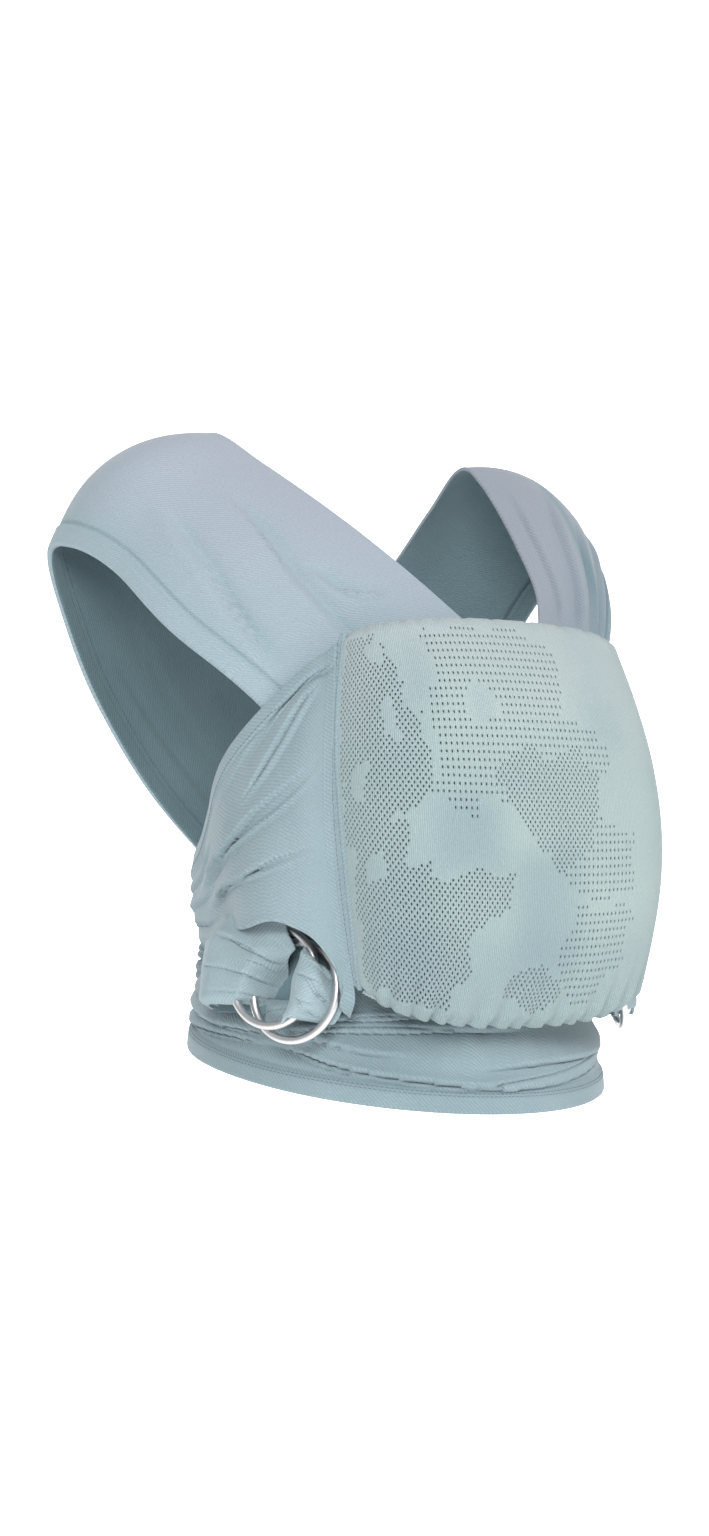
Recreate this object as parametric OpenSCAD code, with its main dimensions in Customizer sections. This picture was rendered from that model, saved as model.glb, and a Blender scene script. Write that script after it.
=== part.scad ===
// Baby wrap sling, drawn the way it sits on a wearer: two crossed shoulder straps, a stretch panel
// over the baby pocket, side wings, a waist band and a pair of sling rings on each hip.
// Millimetres. +Z up, -Y is the wearer's front, +X is the wearer's left.
// The origin is on the wearer's body axis, level with the lowest point of the waist hem.

/* [Cloth] */
// Thickness of the doubled jersey
cloth_t = 2.2; // [1.8:0.1:2.6]

/* [Shoulder straps] */
// How far the middle of a strap stands proud of its edges, against the drawn shape
strap_crown = 1.0; // [0.9:0.05:1.1]
// Rows along one strap
strap_rows = 56; // [40:1:64]

/* [Front panel] */
// Width of the panel at its fullest
panel_w = 242; // [238:1:244]
// How far the panel bulges out from its side seams
panel_bulge = 61; // [58:1:62]
// Height of the lower edge at the middle
panel_foot_z = 54; // [54:1:58]
// Height of the upper edge at the middle
panel_top_z = 322; // [318:1:324]

/* [Waist band] */
// Width of the band, side to side
waist_w = 276; // [270:1:278]
// Depth of the band, front to back
waist_d = 284; // [278:1:286]
// Height of the band
band_h = 78; // [74:1:80]

/* [Sling rings] */
// Inside diameter of a ring
ring_id = 57.8; // [57.4:0.1:58.2]
// Wire diameter of a ring
ring_wire = 5.4; // [5.2:0.1:5.6]

/* [Hidden] */

// ---- curves and cloth shells ----------------------------------------------------------------

function unit(v) = v / norm(v);
function mixed(a, b, t) = a + (b - a) * t;
// Point at f, from 0 to 1, between b and c of four points in a row
function cubic(a, b, c, d, f) =
    (2 * b + (c - a) * f + (2 * a - 5 * b + 4 * c - d) * f * f + (3 * b - a - 3 * c + d) * f * f * f) / 2;
// Smooth curve through the points of P, at t from 0 to 1
function along(P, t) =
    let (last = len(P) - 1, s = t * last, i = min(floor(s), last - 1))
    cubic(i == 0 ? 2 * P[0] - P[1] : P[i - 1], P[i], P[i + 1],
        i + 2 > last ? 2 * P[last] - P[last - 1] : P[i + 2], s - i);
function column(P, k) = [for (p = P) p[k]];
function flipped(G) = [for (row = G) [for (p = row) [-p.x, p.y, p.z]]];

// Outward unit normal of a grid of points at row i, column j
function grid_normal(G, i, j, closed) =
    let (n = len(G), m = len(G[0]),
        before = closed ? G[(i + n - 1) % n][j] : G[max(i - 1, 0)][j],
        after = closed ? G[(i + 1) % n][j] : G[min(i + 1, n - 1)][j])
    unit(cross(after - before, G[i][min(j + 1, m - 1)] - G[i][max(j - 1, 0)]));

// A sheet of even thickness on a grid of points. closed joins the last row to the first.
module cloth(G, t = cloth_t, closed = false) {
    n = len(G);
    m = len(G[0]);
    rows = closed ? n : n - 1;
    skin = function (side) [for (i = [0:n - 1]) for (j = [0:m - 1])
        G[i][j] + grid_normal(G, i, j, closed) * side * t / 2];
    back = n * m;
    at = function (i, j) (i % n) * m + j;
    front_faces = [for (i = [0:rows - 1]) for (j = [0:m - 2])
        each [[at(i, j), at(i, j + 1), at(i + 1, j + 1)], [at(i, j), at(i + 1, j + 1), at(i + 1, j)]]];
    back_faces = [for (f = front_faces) [back + f[0], back + f[2], back + f[1]]];
    wall = function (a, b) [[a, back + b, b], [a, back + a, back + b]];
    side_walls = [for (i = [0:rows - 1])
        each concat(wall(at(i + 1, 0), at(i, 0)), wall(at(i, m - 1), at(i + 1, m - 1)))];
    end_walls = closed ? [] : [for (j = [0:m - 2])
        each concat(wall(at(0, j), at(0, j + 1)), wall(at(n - 1, j + 1), at(n - 1, j)))];
    polyhedron(concat(skin(1), skin(-1)), concat(front_faces, back_faces, side_walls, end_walls));
}

// A cord or tape of round section along a path
module tube(path, r, sides = 8) {
    n = len(path);
    frame = [for (i = [0:n - 1])
        let (d = unit(path[min(i + 1, n - 1)] - path[max(i - 1, 0)]), u = unit(cross(d, [0, 0, 1])))
        [u, cross(u, d)]];
    rings = [for (i = [0:n - 1]) for (k = [0:sides - 1])
        path[i] + r * (cos(360 * k / sides) * frame[i][0] + sin(360 * k / sides) * frame[i][1])];
    walls = [for (i = [0:n - 2]) for (k = [0:sides - 1])
        let (a = i * sides + k, b = i * sides + (k + 1) % sides)
        each [[a, b, b + sides], [a, b + sides, a + sides]]];
    caps = [[for (k = [sides - 1:-1:0]) k], [for (k = [0:sides - 1]) (n - 1) * sides + k]];
    polyhedron(rings, concat(walls, caps));
}

// ---- shoulder straps ------------------------------------------------------------------------

// Points down one strap, from its front end under the panel, over the shoulder, to its back end:
// the arm-side edge, the neck-side edge, and how proud the cloth stands between them
right_strap_points = [
    [[110, -112, 64], [118, -98, 104], 3],
    [[56, -161, 62], [112, -130, 176], 6],
    [[-48, -182, 130], [64, -168, 262], 8],
    [[-126, -116, 256], [-9, -150, 328], 12],
    [[-171, -50, 320], [-50, -92, 388], 16],
    [[-188, 6, 366], [-82, -12, 446], 24],
    [[-201, 50, 388], [-106, 26, 473], 29],
    [[-205, 86, 388], [-106, 68, 450], 22],
    [[-191, 94, 346], [-88, 93, 390], 12],
    [[-163, 93, 280], [-40, 101, 326], 8],
    [[-114, 82, 202], [26, 97, 255], 5],
    [[-30, 88, 128], [80, 78, 188], 3],
    [[54, 83, 80], [92, 50, 126], 2],
    [[110, 30, 81], [112, 16, 110], 2],
    [[135, -28, 79], [134, -34, 107], 2],
    [[145, -62, 75], [144, -66, 101], 1]];
// The left strap lies farther out over the arm. Its points are given as if it were on the right.
left_strap_points = [
    [[110, -104, 64], [118, -88, 104], 3],
    [[56, -149, 62], [112, -113, 176], 6],
    [[-48, -163, 130], [64, -145, 262], 6],
    [[-128, -104, 250], [-50, -140, 300], 10],
    [[-168, -82, 322], [-96, -100, 345], 14],
    [[-196, -46, 366], [-110, -52, 398], 20],
    [[-214, 0, 392], [-116, 4, 454], 28],
    [[-222, 46, 396], [-112, 30, 469], 32],
    [[-222, 84, 380], [-108, 70, 440], 22],
    [[-192, 104, 320], [-80, 104, 382], 10],
    [[-114, 95, 210], [20, 107, 268], 5],
    [[-30, 96, 128], [80, 93, 188], 3],
    [[54, 90, 82], [89, 54, 126], 2],
    [[110, 36, 81], [112, 20, 110], 2],
    [[135, -28, 79], [134, -34, 107], 2],
    [[145, -62, 75], [144, -66, 101], 1]];
strap_columns = 6;

function strap_grid(points) = [for (i = [0:strap_rows])
    let (t = i / strap_rows, arm = along(column(points, 0), t), neck = along(column(points, 1), t),
        middle = [for (p = points) (p[0] + p[1]) / 2], step = 0.01,
        run = along(middle, min(t + step, 1)) - along(middle, max(t - step, 0)),
        out = -unit(cross(run, neck - arm)), crown = along(column(points, 2), t) * strap_crown)
    [for (j = [strap_columns:-1:0])
        let (w = j / strap_columns) mixed(arm, neck, w) + out * crown * 4 * w * (1 - w)]];

module right_shoulder_strap() {
    color("lightsteelblue") cloth(strap_grid(right_strap_points));
}

module left_shoulder_strap() {
    color("lightsteelblue") mirror([1, 0, 0]) cloth(strap_grid(left_strap_points));
}

// ---- front panel ----------------------------------------------------------------------------

panel_x = 5;
// From the lower edge to the upper: share of the full half width, depth of the side seams,
// and share of the full bulge
panel_half = [0.885, 0.942, 0.984, 1, 0.984, 0.934, 0.876];
panel_seam_y = [-182, -184, -184, -180, -172, -164, -160];
panel_share = [0.56, 0.82, 0.94, 1, 1.03, 0.92, 0.56];
panel_corner_rise = 26;
panel_corner_drop = 14;
panel_turn = 86;

// u runs from -1 at the right seam to 1 at the left one, v from 0 at the foot to 1 at the top
function panel_point(u, v, inset = 0) =
    let (foot = panel_foot_z + panel_corner_rise * u * u, top = panel_top_z - panel_corner_drop * u * u,
        seam = along(panel_seam_y, v), half = panel_w / 2 * along(panel_half, v) - inset,
        depth = panel_bulge * along(panel_share, v) - inset)
    [panel_x + half * sin(u * panel_turn) / sin(panel_turn),
        seam - depth * (1 - pow(abs(u), 2.6)), mixed(foot, top, v)];
panel_columns = 20;
panel_rows = 20;

module front_panel() {
    color("powderblue") cloth([for (i = [0:panel_columns])
        [for (j = [0:panel_rows]) panel_point(2 * i / panel_columns - 1, j / panel_rows)]]);
}

// A narrow elastic tape inside each end of the panel, just behind the cloth
elastic_r = 1.5;
elastic_gap = 4;
elastic_reach = 0.9;

module panel_elastic(v) {
    steps = 24;
    tube([for (i = [0:steps]) panel_point(elastic_reach * (2 * i / steps - 1), v, elastic_gap)],
        elastic_r);
}

module panel_top_elastic() {
    color("whitesmoke") panel_elastic(0.975);
}

module panel_bottom_elastic() {
    color("whitesmoke") panel_elastic(0.03);
}

// ---- wings ----------------------------------------------------------------------------------

// Points round the wearer's right side, from the panel seam to the middle of the back:
// the wing's lower edge, its middle and its upper edge
wing_points = [
    [[-105, -181, 81], [-118.5, -179, 190], [-105, -160, 300]],
    [[-130, -174, 100], [-137, -159, 190], [-119, -137, 284]],
    [[-152, -142, 117], [-152, -122, 184], [-141, -103, 250]],
    [[-148, -76, 118], [-151, -66, 165], [-149, -62, 213]],
    [[-138, -22, 113], [-140, -20, 147], [-140, -22, 182]],
    [[-118, 34, 109], [-120, 38, 136], [-118, 38, 163]],
    [[-72, 92, 101], [-72, 96, 126], [-70, 96, 150]],
    [[-0.5, 107, 97], [-0.5, 111, 120], [-0.5, 111, 143]]];
wing_rows = 34;
wing_columns = 7;
// The front panel hangs a little to the wearer's left, so the left wing starts that much farther out
wing_shift_end = 0.3;

function wing_edge(k, t) = along(column(wing_points, k), t);
function wing_point(t, w) = along([for (k = [0:2]) wing_edge(k, t)], w);
function left_shift(t) = 2 * panel_x * max(0, 1 - t / wing_shift_end);
function wing_grid(shift = 0) = [for (i = [0:wing_rows])
    let (t = i / wing_rows) [for (j = [0:wing_columns])
        wing_point(t, j / wing_columns) - [shift * left_shift(t), 0, 0]]];

module right_wing() {
    color("lightsteelblue") mirror([1, 0, 0]) cloth(flipped(wing_grid()));
}

module left_wing() {
    color("lightsteelblue") mirror([1, 0, 0]) cloth(wing_grid(1));
}

// The stretch binding that finishes a wing's upper edge
binding_r = 2;
binding_from = 0.02;
binding_to = 0.99;

function binding_path(shift = 0) = [for (i = [0:48])
    let (t = mixed(binding_from, binding_to, i / 48))
    wing_edge(2, t) + [-shift * left_shift(t), 0, cloth_t / 2 + binding_r]];

module right_wing_binding() {
    color("cadetblue") tube(binding_path(), binding_r);
}

module left_wing_binding() {
    color("cadetblue") mirror([1, 0, 0]) tube(binding_path(1), binding_r);
}

// ---- waist band -----------------------------------------------------------------------------

waist_y = -56;
band_slope = 0.15;
band_tilt = 0.03;
hem_front_y = -207;
band_steps = 72;
// How far the band stands proud at eight heights, hem first: two soft folds under a tight top
band_folds = [6, 5, 1, 0, -3, -6, -8, -9];

module waist_band() {
    last = len(band_folds) - 1;
    color("lightsteelblue") cloth([for (i = [0:band_steps - 1])
        let (a = 360 * i / band_steps, out = [sin(a), -cos(a)],
            core = [waist_w / 2 * sin(a), waist_y - waist_d / 2 * cos(a)],
            foot = band_slope * (core.y - hem_front_y) - band_tilt * core.x)
        [for (j = [0:last]) let (p = core + out * band_folds[j]) [p.x, p.y, foot + band_h * j / last]]],
        closed = true);
}

// ---- sling rings and what holds them --------------------------------------------------------

// The frame of the right-hand rings: X runs forward in their plane, Y up in it, Z out of the body
ring_origin = [-126.5, -143, 79.2];
ring_out = unit([-0.868, -0.463, 0.188]);
ring_up = unit([0, 0, 1] - ring_out.z * ring_out);
ring_fore = cross(ring_up, ring_out);
ring_r = (ring_id + ring_wire) / 2;
// The upper ring's centre in that frame. The lower ring's is at its origin.
upper_at = [-13.3, 8, 6.6];

module in_ring_frame() {
    multmatrix([for (k = [0:2]) [ring_fore[k], ring_up[k], ring_out[k], ring_origin[k]]]) children();
}

module ring(at) {
    in_ring_frame() translate(at) rotate_extrude($fn = 96) translate([ring_r, 0])
        circle(d = ring_wire, $fn = 32);
}

// The gathered strap end: a fold of cloth round the rear arcs of both rings
anchor_low = -9;
anchor_high = 22;
anchor_channel = [[-49, -5], [-17, 11.5]];
anchor_wall = 3.5;
anchor_tail = 14;

module anchor_profile() {
    low = anchor_channel[0];
    size = anchor_channel[1] - low;
    corner = 4;
    module rounded(grow) {
        r = corner + grow;
        for (x = [low.x + corner, low.x + size.x - corner]) for (y = [low.y + corner, low.y + size.y - corner])
            translate([x, y]) circle(r, $fn = 32);
        translate([low.x - grow, low.y + corner]) square([size.x + 2 * grow, size.y - 2 * corner]);
        translate([low.x + corner, low.y - grow]) square([size.x - 2 * corner, size.y + 2 * grow]);
    }
    difference() {
        union() {
            rounded(anchor_wall);
            translate([low.x - anchor_wall - anchor_tail, low.y + 1])
                square([anchor_tail + anchor_wall, size.y - 3]);
        }
        rounded(0);
    }
}

module ring_anchor() {
    in_ring_frame() translate([0, anchor_low, 0]) rotate([90, 0, 0]) mirror([0, 0, 1])
        linear_extrude(anchor_high - anchor_low) anchor_profile();
}

// The tail where it comes up through both rings, over the upper ring and back under the lower one
tail_low = -14;
tail_high = 18;
tail_rows = 24;
tail_columns = 5;
wire_gap = 4.9;

function arc_fore(at, y) = at.x + sqrt(ring_r * ring_r - (y - at.y) * (y - at.y));
// How much longer a sideways step across the wire is, where the ring leans away from upright
function lean(at, y) = ring_r / sqrt(ring_r * ring_r - (y - at.y) * (y - at.y));
function tail_path(y) =
    let (over = arc_fore(upper_at, y), under = arc_fore([0, 0], y), top = upper_at.z + wire_gap,
        step_over = lean(upper_at, y), step_under = lean([0, 0], y))
    [[over - 9 * step_over, y, -8], [over - 6 * step_over, y, 1],
        [over - 4.4 * step_over, y, upper_at.z + 2.6], [over, y, top],
        [over + 4.4 * step_over, y, upper_at.z + 2.4], [under - 4.4 * step_under, y, -2.6],
        [under, y, -wire_gap], [under + 5, y, -wire_gap - 1.5]];

module tail_loop() {
    in_ring_frame() cloth([for (i = [0:tail_rows]) [for (j = [0:tail_columns])
        along(tail_path(mixed(tail_low, tail_high, j / tail_columns)), i / tail_rows)]]);
}

module right_ring_anchor() {
    color("lightsteelblue") ring_anchor();
}

module left_ring_anchor() {
    color("lightsteelblue") mirror([1, 0, 0]) ring_anchor();
}

module right_upper_ring() {
    color("silver") ring(upper_at);
}

module right_lower_ring() {
    color("silver") ring([0, 0, 0]);
}

module left_upper_ring() {
    color("silver") mirror([1, 0, 0]) ring(upper_at);
}

module left_lower_ring() {
    color("silver") mirror([1, 0, 0]) ring([0, 0, 0]);
}

module right_tail_loop() {
    color("lightsteelblue") tail_loop();
}

module left_tail_loop() {
    color("lightsteelblue") mirror([1, 0, 0]) tail_loop();
}

// A plain woven label sewn to the inside of the waist band at the back
label_size = [36, 0.6, 44];
label_gap = 14;

module care_label() {
    color("white") translate([-label_size.x / 2, waist_y + waist_d / 2 - label_gap,
        band_slope * (waist_y + waist_d / 2 - hem_front_y) + 14]) cube(label_size);
}

right_shoulder_strap();
left_shoulder_strap();
front_panel();
panel_top_elastic();
panel_bottom_elastic();
right_wing();
left_wing();
right_wing_binding();
left_wing_binding();
waist_band();
right_ring_anchor();
left_ring_anchor();
right_upper_ring();
right_lower_ring();
left_upper_ring();
left_lower_ring();
right_tail_loop();
left_tail_loop();
care_label();
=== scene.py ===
"""Looks of the baby wrap sling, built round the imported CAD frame. Metres, same frame as the CAD:
+Z up, -Y the wearer's front, +X the wearer's left. Each cloth piece is a grid of points, first laid
on the control points of its CAD shell and then given its folds, gathers, hems and stitches."""
import math

import bpy
import numpy as np
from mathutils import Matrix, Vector


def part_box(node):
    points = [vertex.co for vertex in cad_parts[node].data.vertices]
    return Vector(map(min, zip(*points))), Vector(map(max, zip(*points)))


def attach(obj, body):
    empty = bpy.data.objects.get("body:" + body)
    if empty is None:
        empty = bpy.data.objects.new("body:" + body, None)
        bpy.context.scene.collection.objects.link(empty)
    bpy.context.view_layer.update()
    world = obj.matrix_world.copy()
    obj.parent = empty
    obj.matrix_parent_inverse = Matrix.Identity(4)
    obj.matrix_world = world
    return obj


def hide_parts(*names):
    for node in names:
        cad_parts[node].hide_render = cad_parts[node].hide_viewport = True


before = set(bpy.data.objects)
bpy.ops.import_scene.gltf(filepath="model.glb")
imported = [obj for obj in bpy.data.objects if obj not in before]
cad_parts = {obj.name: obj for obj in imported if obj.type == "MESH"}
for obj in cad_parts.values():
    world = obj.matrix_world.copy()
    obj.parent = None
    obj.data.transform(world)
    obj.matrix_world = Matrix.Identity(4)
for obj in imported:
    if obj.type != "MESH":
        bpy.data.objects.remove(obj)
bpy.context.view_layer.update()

MM = 0.001
MIRROR = np.array([-1.0, 1.0, 1.0])
BODY_NAME = "sling"
CLOTH_THICK = 2.2
RIM = 3  # points that round off each long edge of a cloth
UP, DOWN = (0, 1), (0, -1)  # the side of a fold on which its upper layer lies


# ---- geometry -------------------------------------------------------------------------------

def grid(rows, columns):
    """The row values and the column values, each spread over a grid."""
    return np.meshgrid(rows, columns, indexing="ij")


def curve(a, b, c, d, f):
    """The smooth curve through four points, at the share f of the way from b to c."""
    return (2 * b + (c - a) * f + (2 * a - 5 * b + 4 * c - d) * f**2
            + (3 * b - a - 3 * c + d) * f**3) / 2


def along(points, t, each=False):
    """Smooth curve through points (k, ...) at the values t from 0 to 1, the same one as in the CAD.
    With each, points (k, n, 3) are n curves, and t holds one value for each of them."""
    p = np.asarray(points, float)
    last = len(p) - 1
    p = np.concatenate([2 * p[:1] - p[1:2], p, 2 * p[-1:] - p[-2:-1]])
    s = np.clip(np.asarray(t, float), 0, 1) * last
    i = np.minimum(s.astype(int), last - 1)
    own = (np.arange(s.size),) if each else ()
    f = (s - i).reshape(s.shape + (1,) * (p.ndim - 1 - len(own)))
    return curve(*(p[(i + k, *own)] for k in range(4)), f)


def travel(path):
    """How far along a row of points each of them lies."""
    return np.concatenate([[0], np.cumsum(np.linalg.norm(np.diff(path, axis=0), axis=1))])


def unit(v):
    return v / np.maximum(np.linalg.norm(v, axis=-1, keepdims=True), 1e-12)


def grid_normals(g, closed=False):
    """Outward normals of a grid (rows, columns, 3)."""
    down = np.roll(g, -1, 0) - np.roll(g, 1, 0) if closed else np.gradient(g, axis=0)
    return unit(np.cross(down, np.gradient(g, axis=1)))


def rise(x, low, high):
    """0 below low, 1 above high, smooth between."""
    t = np.clip((x - low) / (high - low), 0, 1)
    return t * t * (3 - 2 * t)


def hump(x, centre, width):
    return np.exp(-(((x - centre) / width) ** 2))


def near_path(g, path):
    """For each point of a grid: its distance to a polyline, and the share of the way along it."""
    p = g.reshape(-1, 1, 3)
    a, b = path[:-1], path[1:]
    ab = b - a
    s = np.clip(((p - a) * ab).sum(-1) / (ab * ab).sum(-1), 0, 1)
    d = np.linalg.norm(p - (a + s[..., None] * ab), axis=-1)
    k = d.argmin(1)
    rows = np.arange(len(k))
    lengths = np.linalg.norm(ab, axis=1)
    start = np.concatenate([[0], np.cumsum(lengths)[:-1]])
    share = (start[k] + s[rows, k] * lengths[k]) / lengths.sum()
    return d[rows, k].reshape(g.shape[:2]), share.reshape(g.shape[:2])


def creases(g, chart, surface, folds):
    """Height in metres that a list of folds adds over a grid. chart is the pair of surface coordinates
    of every grid point. Each fold is a route of surface coordinates, a side (towards which the upper
    layer lies), its lip and dip heights, how far they spread, how sharp the edge between them is, and
    how much of the route it takes to fade in and out. Millimetres."""
    total = np.zeros(g.shape[:2])
    for route, side, lip, dip, spread, sharp, fade in folds:
        line = along(route, np.linspace(0, 1, 28))
        distance, share = near_path(g, surface(line[:, 0], line[:, 1]))
        spot = along(line, share)
        above = (chart[0] - spot[..., 0]) * side[0] + (chart[1] - spot[..., 1]) * side[1]
        x = np.sign(above) * distance / MM
        upper = lip * np.exp(-np.maximum(x, 0) / spread[0])
        lower = -dip * np.exp(-np.maximum(-x, 0) / spread[1])
        height = lower + (upper - lower) * rise(x, -sharp, sharp)
        ends = rise(share, -1e-6, fade[0]) * rise(1 - share, -1e-6, fade[1])
        past = (share <= 0) | (share >= 1)
        total += height * ends * np.where(past, 0, 1)
    return total * MM


def waves(u, v, seed, amount, scale_u, scale_v, count=7):
    """Gentle seeded unevenness over a grid, in metres."""
    rng = np.random.default_rng(seed)
    total = np.zeros(np.broadcast(u, v).shape)
    for _ in range(count):
        a, b = rng.uniform(0.4, 1.0) * scale_u, rng.uniform(-1.0, 1.0) * scale_v
        total += rng.uniform(0.4, 1) * np.sin(2 * math.pi * (a * u + b * v) + rng.uniform(0, 6.28))
    return amount * MM * total / count


def across_columns(g):
    """Distance in metres across the grid from its first column."""
    steps = np.linalg.norm(np.diff(g, axis=1), axis=2)
    return np.concatenate([np.zeros((len(g), 1)), np.cumsum(steps, axis=1)], axis=1)


def edge_distance(g, last=False):
    """Distance in mm across the grid from its first or last column."""
    across = across_columns(g)
    return (across[:, -1:] - across if last else across) / MM


def facing(g, toward, part=slice(None)):
    """1 if the normals of a grid, or of some of its columns, point towards a direction, else -1."""
    return int(np.sign((grid_normals(g)[:, part] * toward).sum(-1).mean()))


def new_object(name, points, faces, materials, face_materials=None, uvs=None):
    mesh = bpy.data.meshes.new(name)
    mesh.from_pydata(np.asarray(points).tolist(), [], faces)
    mesh.polygons.foreach_set("use_smooth", [True] * len(mesh.polygons))
    for m in materials:
        mesh.materials.append(m)
    if face_materials is not None:
        mesh.polygons.foreach_set("material_index", list(face_materials))
    if uvs is not None:
        layer = mesh.uv_layers.new(name="weave")
        corners = np.zeros(len(mesh.loops), int)
        mesh.loops.foreach_get("vertex_index", corners)
        layer.data.foreach_set("uv", np.asarray(uvs, float)[corners].ravel())
    mesh.update()
    obj = bpy.data.objects.new(name, mesh)
    bpy.context.scene.collection.objects.link(obj)
    return obj


def round_loop(values, rim):
    """A grid's values, carried round both faces and both long edges of its cloth."""
    return np.concatenate([values, np.repeat(values[:, -1:], rim, 1), values[:, ::-1],
                           np.repeat(values[:, :1], rim, 1)], axis=1)


def cloth(name, g, materials, thick=CLOTH_THICK, closed=False, rim=RIM):
    """A closed cloth piece on the grid g with rounded edges. thick is in millimetres, one number or one
    for each grid point. materials is (outside, inside). The UVs are lengths on the cloth, in metres."""
    n, m = g.shape[:2]
    normals = grid_normals(g, closed)
    half = (np.zeros((n, m)) + thick) * MM / 2
    turn = np.linspace(0, math.pi, rim + 2)[1:-1]

    def edge(column, next_column, sign):
        """The points round a long edge, from the outside over to the inside or back."""
        out = unit(g[:, column] - g[:, next_column])
        rays = [sign * math.cos(a) * normals[:, column] + math.sin(a) * out for a in turn]
        return np.stack([g[:, column] + half[:, column, None] * ray for ray in rays], 1)
    outer, inner = g + normals * half[..., None], g - normals * half[..., None]
    loop = np.concatenate([outer, edge(-1, -2, 1), inner[:, ::-1], edge(0, 1, -1)], axis=1)
    k = loop.shape[1]
    i, j = grid(np.arange(n if closed else n - 1), np.arange(k))
    a, b = (i % n) * k + j, (i % n) * k + (j + 1) % k
    c, d = ((i + 1) % n) * k + (j + 1) % k, ((i + 1) % n) * k + j
    faces = np.stack([a, d, c, b], -1).reshape(-1, 4).tolist()
    inside = ((j >= m + rim - 1) & (j < 2 * m + rim)).astype(int).ravel().tolist()
    if not closed:
        for row, flip in ((0, False), (n - 1, True)):
            base = row * k
            far = base + 2 * m + rim - 1
            ends = [[base + q, base + q + 1, far - 1 - q, far - q] for q in range(m - 1)]
            ends += [[base + (start + s) % k for s in range(rim + 2)]
                     for start in (m - 1, 2 * m + rim - 1)]
            faces += [face[::-1] if flip else face for face in ends]
            inside += [0] * len(ends)
    down = np.repeat(travel(g[:, m // 2])[:, None], k, 1)
    uvs = np.stack([down, round_loop(across_columns(g), rim)], -1).reshape(-1, 2)
    return new_object(name, loop.reshape(-1, 3), faces, list(materials), inside, uvs)


def paint(piece, values):
    """Stores one value for each point of a piece, for its material to mix by."""
    painted = piece.data.attributes.new("patches_and_shade", "FLOAT", "POINT")
    painted.data.foreach_set("value", values.ravel())


def settle(path, passes=10):
    """Evens out a row of points without moving its ends."""
    for _ in range(passes):
        path = np.concatenate([path[:1], (path[:-2] + 2 * path[1:-1] + path[2:]) / 4, path[-1:]])
    return path


def stitches(name, path, normals, pitch=3.2, length=2.4, radius=0.3, sides=5):
    """A row of separate thread stitches lying along a path on the cloth. Millimetres."""
    travelled = travel(path)
    centres = (np.arange(int(travelled[-1] / (pitch * MM))) + 0.5) * pitch * MM

    def at(distance, values):
        return np.stack([np.interp(distance, travelled, values[:, k]) for k in range(3)], -1)
    run = unit(at(centres + 1e-3, path) - at(centres - 1e-3, path))
    up = unit(at(centres, normals))
    across = np.cross(up, run)
    profile = ((-0.5, 0.15), (-0.4, 0.8), (0.0, 1.0), (0.4, 0.8), (0.5, 0.15))
    points, faces = [], []
    for s in range(len(centres)):
        base = len(points)
        for x, r in profile:
            for q in range(sides):
                angle = 2 * math.pi * q / sides
                points.append(at(centres[s], path) + run[s] * x * length * MM
                              + r * radius * MM * (math.cos(angle) * across[s] + math.sin(angle) * up[s]))
        for ring in range(len(profile) - 1):
            for q in range(sides):
                a, b = base + ring * sides + q, base + ring * sides + (q + 1) % sides
                faces.append([a, b, b + sides, a + sides])
        faces.append([base + q for q in range(sides)][::-1])
        faces.append([base + (len(profile) - 1) * sides + q for q in range(sides)])
    return new_object(name, points, faces, [THREAD])


def column_line(g, distance, inset):
    """Points and normals along the grid at a set distance in mm from one edge, between its columns."""
    order = slice(None, None, 1 if distance[0, -1] > distance[0, 0] else -1)
    steps = distance[:, order]
    return [settle(np.array([[np.interp(inset, steps[i], values[i, order, k]) for k in range(3)]
                             for i in range(len(g))])) for values in (g, grid_normals(g))]


def tube(name, path, radius, materials, sides=12, squeeze=1.0, ripple=0.0, ripple_pitch=3.0):
    """A round or flattened roll of cloth along a path, closed at both ends. Millimetres."""
    n = len(path)
    run = unit(np.gradient(path, axis=0))
    side = unit(np.cross(run, (0, 0, 1.0)))
    up = np.cross(side, run)
    travelled = travel(path) / MM
    taper = np.sqrt(np.clip(np.minimum(np.arange(n), np.arange(n)[::-1]) / 2 + 0.06, 0, 1))
    size = radius * MM * taper * (1 + ripple * np.sin(2 * math.pi * travelled / ripple_pitch))
    angle = np.linspace(0, 2 * math.pi, sides, endpoint=False)
    ring = (np.cos(angle)[None, :, None] * side[:, None] * squeeze
            + np.sin(angle)[None, :, None] * up[:, None])
    points = path[:, None] + size[:, None, None] * ring
    faces = [[row + j, row + (j + 1) % sides, row + sides + (j + 1) % sides, row + sides + j]
             for row in range(0, (n - 1) * sides, sides) for j in range(sides)]
    faces += [list(range(sides))[::-1], list(range((n - 1) * sides, n * sides))]
    uvs = np.stack([np.repeat(travelled[:, None] * MM, sides, 1),
                    np.repeat(angle[None] * radius * MM, n, 0)], -1).reshape(-1, 2)
    return new_object(name, points.reshape(-1, 3), faces, materials, None, uvs)


def place(piece, slot, *nodes, body=BODY_NAME):
    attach(piece, body)
    if nodes:
        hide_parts(*nodes)
    return piece


def stitch_row(name, slot, g, distance, inset, above, part=slice(None)):
    """A row of stitches inset from one edge of a cloth and above the middle of its thickness, or below
    it if above is negative. Millimetres."""
    path, look = column_line(g, distance, inset)
    path = path + look * above * MM
    return place(stitches(name, path[part], look[part] * np.sign(above)), slot)
# ---- materials ------------------------------------------------------------------------------

def connect(tree, made, links):
    """Links each socket of a node to another node's socket, or sets it to a constant."""
    for socket, value in links:
        if isinstance(value, bpy.types.NodeSocket):
            tree.links.new(value, made.inputs[socket])
        else:
            made.inputs[socket].default_value = value


def node(tree, kind, links=(), **settings):
    made = tree.nodes.new(kind)
    for key, value in settings.items():
        setattr(made, key, value)
    connect(tree, made, links)
    return made


def calculate(tree, operation, a, b):
    return node(tree, "ShaderNodeMath", [(0, a), (1, b)], operation=operation).outputs[0]


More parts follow.
